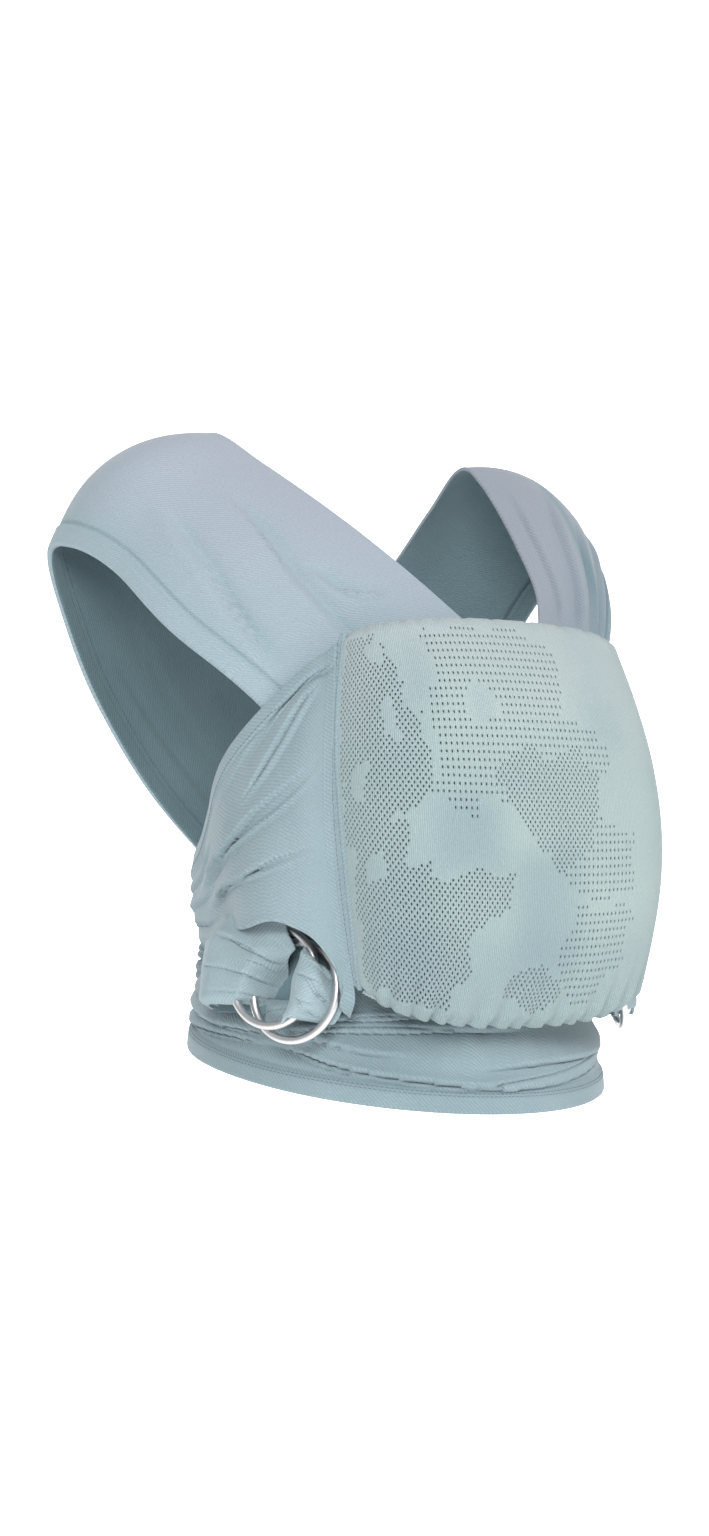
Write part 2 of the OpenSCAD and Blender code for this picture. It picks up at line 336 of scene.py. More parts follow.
def ramp(tree, value, low, high, to_low=0.0, to_high=1.0):
    """Turns the range from low to high into the range from to_low to to_high."""
    return node(tree, "ShaderNodeMapRange", [("Value", value), ("From Min", low), ("From Max", high),
                                             ("To Min", to_low), ("To Max", to_high)]).outputs[0]


def noise(tree, vector, scale, detail):
    return node(tree, "ShaderNodeTexNoise",
                [("Vector", vector), ("Scale", scale), ("Detail", detail)]).outputs[0]


def bumps(tree, strength, distance, height):
    return node(tree, "ShaderNodeBump",
                [("Strength", strength), ("Distance", distance), ("Height", height)]).outputs[0]


def mix_colours(tree, share, low, high):
    """In a colour mix the sockets 0, 6 and 7 are the share and the two colours, and 2 is the result."""
    return node(tree, "ShaderNodeMix", [(0, share), (6, low), (7, high)], data_type="RGBA").outputs[2]


def material(name):
    made = bpy.data.materials.new(name)
    made.use_nodes = True
    tree = made.node_tree
    tree.nodes.clear()
    shader = node(tree, "ShaderNodeBsdfPrincipled")
    node(tree, "ShaderNodeOutputMaterial", [(0, shader.outputs[0])])
    return made, tree, shader


SLANT = 0.785  # of the ribs on the straps, in radians; the body cloth has them the other way round
LOOP_PITCH, FUZZ_SCALE, DRIFT_SCALE = 0.8, 700.0, 11.0


def jersey(name, colour, tint, lit_top_tint=None, rib=1.9, slant=SLANT, relief=0.4, contrast=0.10,
           patches_and_shade=None):
    """Knitted cotton: slanting ribs, fine loops, fuzz and slow changes of tint. rib is their pitch in mm.
    The top tint, when given, is a lighter colour that the cloth drifts to higher up on the sling: painted
    light, where the tops face the lamps. The painted attribute, when named, mixes colour (0) and tint (1)
    in place of the drift; it holds the cloth's own tone together with painted shade and painted light."""
    made, tree, shader = material(name)
    where = node(tree, "ShaderNodeTexCoord").outputs
    turned = node(tree, "ShaderNodeMapping", [("Vector", where["UV"]), ("Rotation", (0, 0, slant))])
    ribs = node(tree, "ShaderNodeTexWave",
                [("Vector", turned.outputs[0]), ("Scale", math.pi / 10 / (rib * MM)), ("Distortion", 1.2),
                 ("Detail", 2.0), ("Detail Scale", 1.5)]).outputs["Fac"]
    loops = node(tree, "ShaderNodeTexVoronoi",
                 [("Vector", where["UV"]), ("Scale", 1 / (LOOP_PITCH * MM))]).outputs["Distance"]
    slow = noise(tree, where["Object"], DRIFT_SCALE, 3.0)
    fuzz = noise(tree, where["UV"], FUZZ_SCALE, 3.0)
    # The painted attribute holds the cloth's own tone together with painted shade.
    if patches_and_shade is None:
        share = ramp(tree, slow, 0.36, 0.64)
    else:
        painted = node(tree, "ShaderNodeAttribute", attribute_name=patches_and_shade)
        share = calculate(tree, "ADD", painted.outputs["Fac"], calculate(tree, "MULTIPLY", slow, 0.35))
    base = mix_colours(tree, share, (*colour, 1), (*tint, 1))
    # Painted light: higher up, the colour drifts to the lighter top tint, as on tops that face the lamps.
    if lit_top_tint is not None:
        height = node(tree, "ShaderNodeSeparateXYZ", [("Vector", where["Object"])]).outputs[2]
        height = calculate(tree, "ADD", height, calculate(tree, "MULTIPLY", slow, 0.16))
        base = mix_colours(tree, ramp(tree, height, 0.30, 0.50), base, (*lit_top_tint, 1))
    dark_ribs = ramp(tree, ribs, 0, 1, 1 - contrast, 1 + contrast / 2)
    speckle = ramp(tree, fuzz, 0.3, 0.7, 0.93, 1.07)
    shade = node(tree, "ShaderNodeVectorMath",
                 [(0, base), (3, calculate(tree, "MULTIPLY", dark_ribs, speckle))], operation="SCALE")
    tall = calculate(tree, "ADD", ribs, calculate(tree, "MULTIPLY", loops, 0.5))
    connect(tree, shader, [("Base Color", shade.outputs[0]), ("Roughness", 0.9),
                           ("Normal", bumps(tree, relief, 0.0005, tall)), ("Sheen Weight", 0.18),
                           ("Sheen Roughness", 0.45), ("Specular IOR Level", 0.15)])
    return made


def metal(name):
    """Drawn aluminium, lightly brushed, with lighter and darker streaks in its colour that are painted
    reflections.
    """
    made, tree, shader = material(name)
    where = node(tree, "ShaderNodeTexCoord").outputs["Object"]
    brushed = noise(tree, where, 420.0, 4.0)
    # Painted reflection: slow streaks of lighter and darker colour stand in for the bright and dark
    # reflections of polished rings.
    painted_streaks = noise(tree, where, 70.0, 2.0)
    colour = mix_colours(tree, painted_streaks, (0.52, 0.52, 0.53, 1), (0.68, 0.68, 0.69, 1))
    connect(tree, shader, [("Base Color", colour), ("Roughness", ramp(tree, brushed, 0, 1, 0.3, 0.4)),
                           ("Normal", bumps(tree, 0.03, 0.0002, brushed)), ("Metallic", 1.0)])
    return made


STRAP = jersey("strap_jersey", (0.262, 0.345, 0.378), (0.295, 0.330, 0.385), patches_and_shade="patches_and_shade")
# Painted shade: the left strap gets a darker copy of the strap jersey.
STRAP_LEFT_SHADED = jersey("strap_jersey_left_painted_shade", (0.138, 0.208, 0.238), (0.25, 0.28, 0.325), patches_and_shade="patches_and_shade")
# Painted shade: the straps' inside faces get a darker copy of the strap jersey.
STRAP_IN_SHADED = jersey("strap_jersey_inside_painted_shade", (0.125, 0.185, 0.207), (0.108, 0.165, 0.186), rib=1.6,
                  contrast=0.12)
# Painted shade: the body jersey is darker than the strap jersey, for the shade on the wings and the band.
BODY = jersey("body_jersey", (0.20, 0.272, 0.30), (0.235, 0.308, 0.337), slant=-SLANT)
# Painted light: a lighter copy of the body jersey for the gathered strap ends and the tails at the rings.
BUNDLE_LIT = jersey("body_jersey_bundle_painted_light", (0.245, 0.325, 0.355), (0.275, 0.355, 0.385), slant=-SLANT)
# Painted shade: the inside faces of the body cloth get a darker copy of the body jersey.
BODY_IN_SHADED = jersey("body_jersey_inside_painted_shade", (0.15, 0.22, 0.25), (0.13, 0.20, 0.225), slant=-SLANT, rib=1.6)
# The panel's third colour is its lighter top tint: painted light on its top.
PANEL = jersey("panel_knit", (0.22, 0.292, 0.318), (0.32, 0.40, 0.388), (0.37, 0.41, 0.435), rib=1.4,
               slant=0.0, relief=0.6, contrast=0.16, patches_and_shade="patches_and_shade")
# Painted shade: the panel's back face and the walls of its holes get a darker copy of the knit.
PANEL_IN_SHADED = jersey("panel_knit_inside_painted_shade", (0.17, 0.23, 0.25), (0.16, 0.22, 0.24), rib=1.5, slant=0.0)
# Painted shade: the colour of the sheet behind the panel's holes, standing in for the shaded inside of
# the sling.
SHADE_BACKING = jersey("panel_painted_shade_backing", (0.21, 0.28, 0.31), (0.225, 0.295, 0.32), rib=1.4, slant=0.0)
THREAD = jersey("sewing_thread", (0.13, 0.18, 0.205), (0.15, 0.20, 0.225), rib=0.5, contrast=0.15)
ELASTIC = jersey("elastic_tape", (0.30, 0.38, 0.40), (0.33, 0.40, 0.42), rib=0.9, slant=1.571,
                 contrast=0.25)
LABEL = jersey("label_tape", (0.72, 0.72, 0.70), (0.68, 0.69, 0.68), rib=0.5, slant=0.0, relief=0.2)
RING = metal("ring_metal")

# ---- shoulder straps ------------------------------------------------------------------------

# The CAD's own control points, from the front end over the shoulder to the back end: arm edge,
# neck edge, crown. Millimetres; the left strap is given as if on the right and mirrored.
RIGHT_STRAP = [
    ((110, -112, 64), (118, -98, 104), 3), ((56, -161, 62), (112, -130, 176), 6),
    ((-48, -182, 130), (64, -168, 262), 8), ((-126, -116, 256), (-9, -150, 328), 12),
    ((-171, -50, 320), (-50, -92, 388), 16), ((-188, 6, 366), (-82, -12, 446), 24),
    ((-201, 50, 388), (-106, 26, 473), 29), ((-205, 86, 388), (-106, 68, 450), 22),
    ((-191, 94, 346), (-88, 93, 390), 12), ((-163, 93, 280), (-40, 101, 326), 8),
    ((-114, 82, 202), (26, 97, 255), 5), ((-30, 88, 128), (80, 78, 188), 3),
    ((54, 83, 80), (92, 50, 126), 2), ((110, 30, 81), (112, 16, 110), 2),
    ((135, -28, 79), (134, -34, 107), 2), ((145, -62, 75), (144, -66, 101), 1)]
LEFT_STRAP = [
    ((110, -104, 64), (118, -88, 104), 3), ((56, -149, 62), (112, -113, 176), 6),
    ((-48, -163, 130), (64, -145, 262), 6), ((-128, -104, 250), (-50, -140, 300), 10),
    ((-168, -82, 322), (-96, -100, 345), 14), ((-196, -46, 366), (-110, -52, 398), 20),
    ((-214, 0, 392), (-116, 4, 454), 28), ((-222, 46, 396), (-112, 30, 469), 32),
    ((-222, 84, 380), (-108, 70, 440), 22), ((-192, 104, 320), (-80, 104, 382), 10),
    ((-114, 95, 210), (20, 107, 268), 5), ((-30, 96, 128), (80, 93, 188), 3),
    ((54, 90, 82), (89, 54, 126), 2), ((110, 36, 81), (112, 20, 110), 2),
    ((135, -28, 79), (134, -34, 107), 2), ((145, -62, 75), (144, -66, 101), 1)]


def strap_surface(stations):
    arm, neck = (np.array([s[k] for s in stations], float) * MM for k in (0, 1))
    crown = np.array([s[2] for s in stations], float) * MM
    middle = (arm + neck) / 2

    def surface(t, w):
        """t from the front end to the back end, w from the neck edge (0) to the arm edge (1)."""
        t, w = np.broadcast_arrays(np.asarray(t, float), np.asarray(w, float))
        a, b = along(arm, t), along(neck, t)
        run = along(middle, np.minimum(t + 0.01, 1)) - along(middle, np.maximum(t - 0.01, 0))
        out = -unit(np.cross(run, b - a))
        return a + (b - a) * (1 - w)[..., None] + out * (along(crown, t) * 4 * w * (1 - w))[..., None]
    return surface


HEM_WIDTH = 14.0
STITCH_INSETS = (10.0, 11.8)
HEM_TOP = 1.55  # mm from the middle of a hemmed cloth to the stitches on it


def hem_thickness(distance, width=HEM_WIDTH, extra=3.0):
    """Extra thickness in mm of a folded and stitched hem, at a distance in mm from the edge."""
    body = rise(-distance, -width - 0.6, -width + 0.6)
    sewn = sum(hump(distance, inset, 0.8) for inset in STITCH_INSETS)
    return extra * body - 0.9 * sewn - 2.2 * hump(distance, width + 1.2, 1.5)


# Each fold: route of (t, w), side of the upper layer, lip, dip, (spread up, down), sharpness, fades.
SHOULDER_FOLDS = [
    ([(0.56, 0.25), (0.62, 0.30), (0.70, 0.36)], UP, 1.6, 1.4, (9, 9), 6.0, (0.3, 0.3)),
    ([(0.52, 0.50), (0.60, 0.54), (0.72, 0.56)], UP, 1.8, 1.6, (9, 9), 6.0, (0.3, 0.3)),
    ([(0.55, 0.78), (0.62, 0.78), (0.74, 0.74)], DOWN, 1.6, 1.4, (8, 8), 5.0, (0.3, 0.3))]
STRAP_FOLDS = {
    "right": [
        ([(0.35, 0.62), (0.31, 0.68), (0.28, 0.71), (0.25, 0.78), (0.21, 0.86)],
         UP, 4.0, 7.0, (13, 12), 7.0, (0.3, 0.2)),
        ([(0.33, 0.33), (0.28, 0.38), (0.25, 0.45), (0.23, 0.47), (0.18, 0.55)],
         UP, 4.0, 7.0, (12, 11), 6.5, (0.3, 0.2)),
        ([(0.26, 0.35), (0.23, 0.32), (0.22, 0.17)], UP, 3.4, 5.5, (10, 9), 5.5, (0.3, 0.2)),
        *SHOULDER_FOLDS],
    "left": [
        ([(0.40, 0.10), (0.32, 0.13), (0.24, 0.20)], UP, 2.4, 2.2, (6, 6), 2.5, (0.3, 0.2)),
        ([(0.40, 0.34), (0.32, 0.36), (0.24, 0.40)], UP, 3.2, 3.0, (7, 7), 2.5, (0.3, 0.2)),
        ([(0.38, 0.55), (0.32, 0.56), (0.24, 0.58)], UP, 3.4, 3.0, (7, 7), 2.5, (0.3, 0.2)),
        ([(0.40, 0.74), (0.32, 0.73), (0.24, 0.72)], UP, 2.8, 2.6, (6, 6), 2.2, (0.3, 0.2)),
        *SHOULDER_FOLDS]}


def pleats(t, w, seed, count=5.5, height=2.6):
    """Gathers along a strap, which deepen towards its two narrow ends, in metres."""
    rng = np.random.default_rng(seed)
    shift = rng.uniform(0, 6.28, 3)
    gathered = rise(-t, -0.17, -0.04) + rise(t, 0.76, 0.92)
    phase = 2 * math.pi * (count * w + 0.35 * np.sin(2 * math.pi * w + shift[0])
                           + 0.5 * np.sin(5 * t + shift[1]))
    shape = 1 - np.abs(np.sin(phase / 2 + 0.2 * np.sin(30 * t + shift[2]))) ** 0.8
    return (shape - 0.4) * height * gathered * np.sin(math.pi * np.clip(w, 0.02, 0.98)) ** 0.3 * MM


STRAP_ROWS, STRAP_STITCHED = 430, slice(50, 385)  # grid rows, and the rows along which a hem is sewn
END_TUCK = 18  # mm by which a strap's back end is pulled in, so that it stays under the wing


def make_strap(side, stations, seed):
    mirrored = side == "left"
    right_surface = strap_surface(stations)

    def surface(t, w):
        return right_surface(t, w) * (MIRROR if mirrored else 1)
    # The columns lie closer together in the hem along the arm edge.
    columns = np.concatenate([np.linspace(0, 0.85, 52, endpoint=False), np.linspace(0.85, 1, 38)])
    t, w = grid(np.linspace(0, 1, STRAP_ROWS), columns)
    g = surface(t, w)
    normals = grid_normals(g) * (-1 if mirrored else 1)
    lift = creases(g, (t, w), surface, STRAP_FOLDS[side])
    lift += waves(t, w, seed, 2.2, 10, 1.6) * np.sin(math.pi * w) ** 0.5 + pleats(t, w, seed)
    lift -= END_TUCK * MM * rise(t, 0.85, 0.94)
    order = -1 if mirrored else 1
    g = (g + normals * lift[..., None])[:, ::order]
    from_arm = edge_distance(g, last=not mirrored)
    from_neck = edge_distance(g, last=mirrored)
    stitched = (rise(t, 0.10, 0.16) * rise(-t, -0.93, -0.88))[:, ::order]
    thick = CLOTH_THICK + hem_thickness(from_arm) * stitched + 0.9 * hump(from_neck, 0, 2.0)
    # How far the colour goes from teal to lavender: most on the shoulder, least at the hem. The drop
    # towards teal in the fold dips and in the groove beside the hem is painted shade.
    tone_and_shade = (1.0 - 0.95 * w) * rise(t, 0.10, 0.34) * rise(-t, -0.66, -0.52) + 0.25 * rise(t, 0.25, 0.5)
    tone_and_shade = tone_and_shade * (1 - 0.8 * rise(w, 0.80, 0.86)) - 0.42 * rise(-lift / MM, 0.8, 4.0)
    tone_and_shade = tone_and_shade - 0.6 * hump(from_arm, HEM_WIDTH + 1.2, 1.6) * stitched
    strap = cloth(f"{side}_strap_cloth", g, (STRAP_LEFT_SHADED if mirrored else STRAP, STRAP_IN_SHADED), thick)
    paint(strap, round_loop(tone_and_shade[:, ::order], RIM))
    place(strap, "strap_jersey", f"{side}_shoulder_strap")
    rows = [stitch_row(f"{side}_strap_stitches_{face}_{k + 1}", "strap_jersey", g, from_arm, inset,
                       above, STRAP_STITCHED)
            for k, inset in enumerate(STITCH_INSETS)
            for face, above in (("outer", HEM_TOP), ("inner", -HEM_TOP))]


# ---- front panel ----------------------------------------------------------------------------

PANEL_X, PANEL_HALF, PANEL_DEPTH, PANEL_TURN = 5, 121, 61, 86
PANEL_WIDTHS = (0.885, 0.942, 0.984, 1, 0.984, 0.934, 0.876)
PANEL_SEAM_Y = (-182, -184, -184, -180, -172, -164, -160)
PANEL_BULGE = (0.56, 0.82, 0.94, 1, 1.03, 0.92, 0.56)


def panel_surface(u, v):
    """u from the right seam (-1) to the left seam (1), v from the foot (0) to the top (1)."""
    u, v = np.broadcast_arrays(np.asarray(u, float), np.asarray(v, float))
    half = along(PANEL_WIDTHS, v) * PANEL_HALF
    turn = math.radians(PANEL_TURN)
    x = PANEL_X + half * np.sin(u * turn) / math.sin(turn)
    y = along(PANEL_SEAM_Y, v) - along(PANEL_BULGE, v) * PANEL_DEPTH * (1 - np.abs(u) ** 2.6)
    foot, top = 54 + 26 * u * u, 322 - 14 * u * u
    return np.stack([x, y, foot + (top - foot) * v], -1) * MM


# Plain patches and perforated patches of the knit: middle (u, v) and half size (u, v), and for the
# perforated ones whether every cell or every second row has a hole.
PLAIN = [(-0.64, 0.965, 0.09, 0.03), (-0.50, 0.88, 0.055, 0.07), (-0.55, 0.80, 0.035, 0.05),
         (-0.745, 0.915, 0.04, 0.03), (-0.68, 0.735, 0.045, 0.05), (-0.245, 0.775, 0.05, 0.05),
         (-0.86, 0.575, 0.05, 0.055), (-0.50, 0.46, 0.12, 0.085), (-0.36, 0.44, 0.14, 0.075),
         (-0.20, 0.46, 0.09, 0.08), (-0.79, 0.36, 0.04, 0.04), (-0.06, 0.33, 0.11, 0.08),
         (-0.12, 0.22, 0.12, 0.07), (-0.22, 0.13, 0.06, 0.03)]
PERFORATED = [(-0.80, 0.74, 0.17, 0.21, 1), (-0.60, 0.68, 0.09, 0.17, 1), (-0.82, 0.93, 0.14, 0.05, 1),
              (-0.62, 0.56, 0.14, 0.07, 1), (-0.84, 0.48, 0.13, 0.09, 1), (-0.72, 0.34, 0.20, 0.14, 1),
              (-0.72, 0.17, 0.20, 0.13, 1), (-0.48, 0.27, 0.16, 0.085, 1), (-0.34, 0.31, 0.13, 0.06, 1),
              (-0.22, 0.35, 0.09, 0.045, 1), (-0.46, 0.17, 0.13, 0.07, 1), (-0.54, 0.08, 0.14, 0.05, 1),
              (0.0, 0.60, 0.20, 0.06, 1), (0.04, 0.53, 0.19, 0.06, 1), (0.06, 0.455, 0.14, 0.045, 1),
              (0.02, 0.41, 0.09, 0.03, 1), (-0.03, 0.10, 0.12, 0.045, 1), (0.20, 0.10, 0.10, 0.035, 2),
              (-0.18, 0.85, 0.31, 0.12, 2), (-0.16, 0.68, 0.31, 0.11, 2), (-0.30, 0.57, 0.16, 0.07, 2),
              (0.24, 0.40, 0.17, 0.09, 2), (0.24, 0.20, 0.17, 0.09, 2), (0.20, 0.66, 0.09, 0.05, 2)]
# Lighter (+) and darker (-) areas of the knit: middle (u, v), half size (u, v), strength. The darker
# areas down the left side and along the foot are painted shade; the others are the knit's own colour
# patches.
TONES_AND_SHADE = [(-0.16, 0.80, 0.34, 0.18, 0.35), (-0.34, 0.46, 0.16, 0.09, -0.45),
         (-0.12, 0.49, 0.14, 0.08, 0.25), (0.0, 0.29, 0.15, 0.15, -0.42),
         (0.30, 0.45, 0.24, 0.20, 0.22), (0.40, 0.22, 0.30, 0.16, 0.20),
         (-0.68, 0.70, 0.20, 0.22, -0.22), (-0.68, 0.25, 0.24, 0.20, -0.28),
         (-0.245, 0.775, 0.05, 0.05, -0.3), (0.05, 0.09, 0.95, 0.13, -0.30),
         (-0.50, 0.86, 0.07, 0.09, -0.25), (0.30, 0.74, 0.12, 0.06, -0.2)]
# Gathers at the foot and the top: place u, depth in mm, width in mm, reach up the panel, lean.
FOOT_GATHERS = [(-0.88, 2.5, 4, 0.10, 0.3), (-0.74, 4.5, 4, 0.15, 0.4), (-0.58, 5.5, 3.6, 0.14, -0.3),
                (-0.47, 7.0, 3.4, 0.13, 0.5), (-0.385, 4.0, 2.6, 0.09, 0.2), (-0.28, 5.5, 3.4, 0.11, 0.4),
                (-0.17, 6.0, 4, 0.18, 0.7), (-0.08, 3.5, 2.6, 0.08, 0.3), (-0.01, 4.6, 3, 0.12, 0.5),
                (0.10, 5.0, 3.4, 0.14, 0.5), (0.19, 3.4, 2.6, 0.10, 0.4), (0.27, 5.0, 3.4, 0.14, 0.5),
                (0.37, 5.4, 3.4, 0.15, 0.6), (0.50, 4.6, 4, 0.16, 0.5), (0.64, 5.0, 4, 0.15, 0.4),
                (0.78, 4.2, 4, 0.13, 0.3), (0.90, 3.0, 4, 0.11, 0.2)]
TOP_GATHERS = [(-0.80, 1.4, 2.6, 0.035, 0), (-0.66, 1.6, 2.4, 0.03, 0), (-0.55, 2.2, 2.2, 0.035, 0.2),
               (-0.46, 1.4, 2.2, 0.03, 0), (-0.36, 1.6, 2.4, 0.03, -0.2), (-0.22, 1.6, 3, 0.04, 0),
               (-0.08, 1.2, 3, 0.035, 0), (0.10, 1.3, 3, 0.04, 0.1), (0.28, 1.5, 4, 0.045, 0.2),
               (0.45, 1.6, 4, 0.05, 0.3), (0.62, 1.6, 4, 0.05, 0.3), (0.80, 1.4, 4, 0.05, 0.2)]
CELL_WIDE, CELL_HIGH, CELL_POINT = 3.8, 2.75, 0.22
PANEL_LONG, PANEL_HIGH = 318.0, 286.0
HOLE_WIDE, HOLE_HIGH = 0.27, {1: 0.60, 2: 0.66}  # shares of the cell; the height by kind of patch
PANEL_HALF_THICK = 0.8
SEAM_STITCH_COLUMNS = (4, 10)


def panel_lift(u, v):
    total = np.zeros(np.broadcast(u, v).shape)
    for gathers, height in ((FOOT_GATHERS, v), (TOP_GATHERS, 1 - v)):
        for at, depth, width, reach, lean in gathers:
            x = (u - at - lean * height * 0.6) * PANEL_LONG / 2
            spread = width * (1 + 1.6 * height / reach)
            fade = np.exp(-(height / reach) ** 1.5)
            total += depth * fade * (0.45 * hump(x, 0, 2.4 * spread) - 1.1 * hump(x, 0, spread))
    total -= 1.6 * rise(np.abs(u), 0.965, 1.0)
    return total * MM + waves(u, v, 12, 1.0, 1.2, 2)


def perforated(u, v, row):
    """0 for a plain cell, 1 for a hole among its neighbours, 2 for one of a thinly perforated patch."""
    if abs(u) > 0.965 or v < 0.035 or v > 0.975:
        return 0
    u, v = (u + 0.02 * math.sin(31 * v + 3 * math.sin(17 * u)),
            v + 0.015 * math.sin(29 * u + 2 * math.sin(23 * v)))

    def within(cu, cv, ru, rv):
        return abs((u - cu) / ru) ** 4 + abs((v - cv) / rv) ** 4 < 1
    if any(within(*patch) for patch in PLAIN):
        return 0
    return next((every for *patch, every in PERFORATED if within(*patch) and row % every == 0), 0)


def make_panel():
    """The knit is a lattice of hexagons in two layers, front and back, with some of them open."""
    columns = int(round(PANEL_LONG / CELL_WIDE)) * 2
    rows = int(round(PANEL_HIGH / CELL_HIGH))
    j, k = grid(np.arange(columns + 1), np.arange(rows + 1))
    zigzag = np.where((j + k) % 2 == 0, -CELL_POINT, CELL_POINT) * ((k > 0) & (k < rows))
    u, v = j / columns * 2 - 1, (k + zigzag) / rows
    spacing = np.linspace(-1, 1, 2001)
    length = travel(panel_surface(spacing, 0.5))
    u = np.interp((u + 1) / 2 * length[-1], length, spacing)
    middle = panel_surface(u, v)
    normals = grid_normals(middle)
    lift = panel_lift(u, v) - (rise(-v, -0.035, 0.0) * 5 + rise(v, 0.975, 1.0) * 3) * MM
    front, back = ((middle + normals * (lift + offset * MM)[..., None]).reshape(-1, 3)
                   for offset in (PANEL_HALF_THICK, -PANEL_HALF_THICK))
    count = len(front)
    extra, extra_uv, extra_tone_and_shade, faces, sides = [], [], [], [], []
    uv = np.stack([(j / columns * PANEL_LONG * MM).ravel(), (k / rows * PANEL_HIGH * MM).ravel()], -1)
    # Painted shade down the left side and along the foot, mixed with the knit's own colour patches.
    tone_and_shade = np.full(u.shape, 0.42)
    for cu, cv, ru, rv, strength in TONES_AND_SHADE:
        tone_and_shade += strength * np.exp(-(((u - cu) / ru) ** 4 + ((v - cv) / rv) ** 4))
    tone_and_shade = tone_and_shade.ravel()

    def index(a, b):
        return a * (rows + 1) + b
    for row in range(rows):
        for c in range(row % 2, columns + 1, 2):
            if c in (0, columns):
                inward = 1 if c == 0 else -1
                ring = [index(c, row), index(c + inward, row), index(c + inward, row + 1),
                        index(c, row + 1)][::inward]
                kind = 0
            else:
                ring = [index(c - 1, row), index(c, row), index(c + 1, row),
                        index(c + 1, row + 1), index(c, row + 1), index(c - 1, row + 1)]
                kind = perforated(u[c, row], (row + 0.5) / rows, row)
            if not kind:
                faces += [ring, [count + q for q in ring[::-1]]]
                sides += [0, 1]
                continue
            base = 2 * count + len(extra)
            wide, high = HOLE_WIDE, HOLE_HIGH[kind]
            shape = [(-wide, -high * 0.45), (0, -high), (wide, -high * 0.45),
                     (wide, high * 0.45), (0, high), (-wide, high * 0.45)]
            for source, sink in ((front, 0.25), (back, 0.0)):
                corner, flat = source[ring], uv[ring]
                across = (corner[2] + corner[3] - corner[0] - corner[5]) / 4
                tall = (corner[4] - corner[1]) / 2
                centre = corner.mean(0)
                inward = unit(np.cross(tall, across)) * sink * MM
                extra += [centre + across * x + tall * y + inward for x, y in shape]
                extra_uv += [flat.mean(0) + np.array([x, y]) * (flat.max(0) - flat.min(0)) / 2
                             for x, y in shape]
                extra_tone_and_shade += [tone_and_shade[ring].mean()] * 6
            # The walls of each hole take the darker inside knit: painted shade in the holes.
            for q in range(6):
                r = (q + 1) % 6
                faces.append([ring[q], ring[r], base + r, base + q])
                faces.append([count + ring[r], count + ring[q], base + 6 + q, base + 6 + r])
                faces.append([base + q, base + r, base + 6 + r, base + 6 + q])
                sides += [0, 1, 1]
    edge = ([index(c, 0) for c in range(columns)] + [index(columns, r) for r in range(rows)]
            + [index(c, rows) for c in range(columns, 0, -1)] + [index(0, r) for r in range(rows, 0, -1)])
    for a, b in zip(edge, edge[1:] + edge[:1]):
        faces.append([b, a, count + a, count + b])
        sides.append(0)
    panel = new_object("front_panel_knit", np.concatenate([front, back, np.array(extra)]), faces,
                       [PANEL, PANEL_IN_SHADED], sides, np.concatenate([uv, uv, np.array(extra_uv)]))
    paint(panel, np.concatenate([tone_and_shade, tone_and_shade, np.array(extra_tone_and_shade)]))
    place(panel, "panel_knit", "front_panel")
    for name, level, behind in (("top", 0.975, 4.5), ("bottom", 0.03, 11)):
        path = panel_surface(np.linspace(-0.86, 0.86, 520), level) + np.array([0, 1, 0]) * behind * MM
        tape = tube(f"panel_{name}_elastic_tape", path, 1.5, [ELASTIC], sides=10, ripple=0.14,
                    ripple_pitch=2.2)
        place(tape, "elastic_tape", f"panel_{name}_elastic")
    # A sheet just behind the knit, which the real panel doesn't have, stands in for the shaded inside
    # seen through the holes: painted shade.
    u, v = grid(np.linspace(-0.97, 0.97, 130), np.linspace(0.035, 0.965, 90))
    g = panel_surface(u, v)
    g = g + grid_normals(g) * (panel_lift(u, v) - 2.3 * MM)[..., None]
    shade_backing = cloth("front_panel_painted_shade_backing", g, (SHADE_BACKING, SHADE_BACKING), 0.9)
    place(shade_backing, "panel_knit")


# ---- wings ----------------------------------------------------------------------------------

WING = [  # bottom, middle and top points from the panel seam round to the centre back
    ((-105, -181, 81), (-118.5, -179, 190), (-105, -160, 300)),
    ((-130, -174, 100), (-137, -159, 190), (-119, -137, 284)),
    ((-152, -142, 117), (-152, -122, 184), (-141, -103, 250)),
    ((-148, -76, 118), (-151, -66, 165), (-149, -62, 213)),
    ((-138, -22, 113), (-140, -20, 147), (-140, -22, 182)),
    ((-118, 34, 109), (-120, 38, 136), (-118, 38, 163)),
    ((-72, 92, 101), (-72, 96, 126), (-70, 96, 150)),
    ((-0.5, 107, 97), (-0.5, 111, 120), (-0.5, 111, 143))]
WING_POINTS = np.array(WING, float) * MM


def wing_surface(t, w):
    """t from the panel seam to the centre back, w from the lower edge to the upper edge."""
    t, w = np.broadcast_arrays(np.asarray(t, float), np.asarray(w, float))
    lines = along(WING_POINTS, t)
    a, b, c = lines[..., 0, :], lines[..., 1, :], lines[..., 2, :]
    low = (w < 0.5)[..., None]
    f = w[..., None] * 2 - np.where(low, 0, 1)
    return curve(*(np.where(low, x, y) for x, y in ((2 * a - b, a), (a, b), (b, c), (c, 2 * c - b))), f)


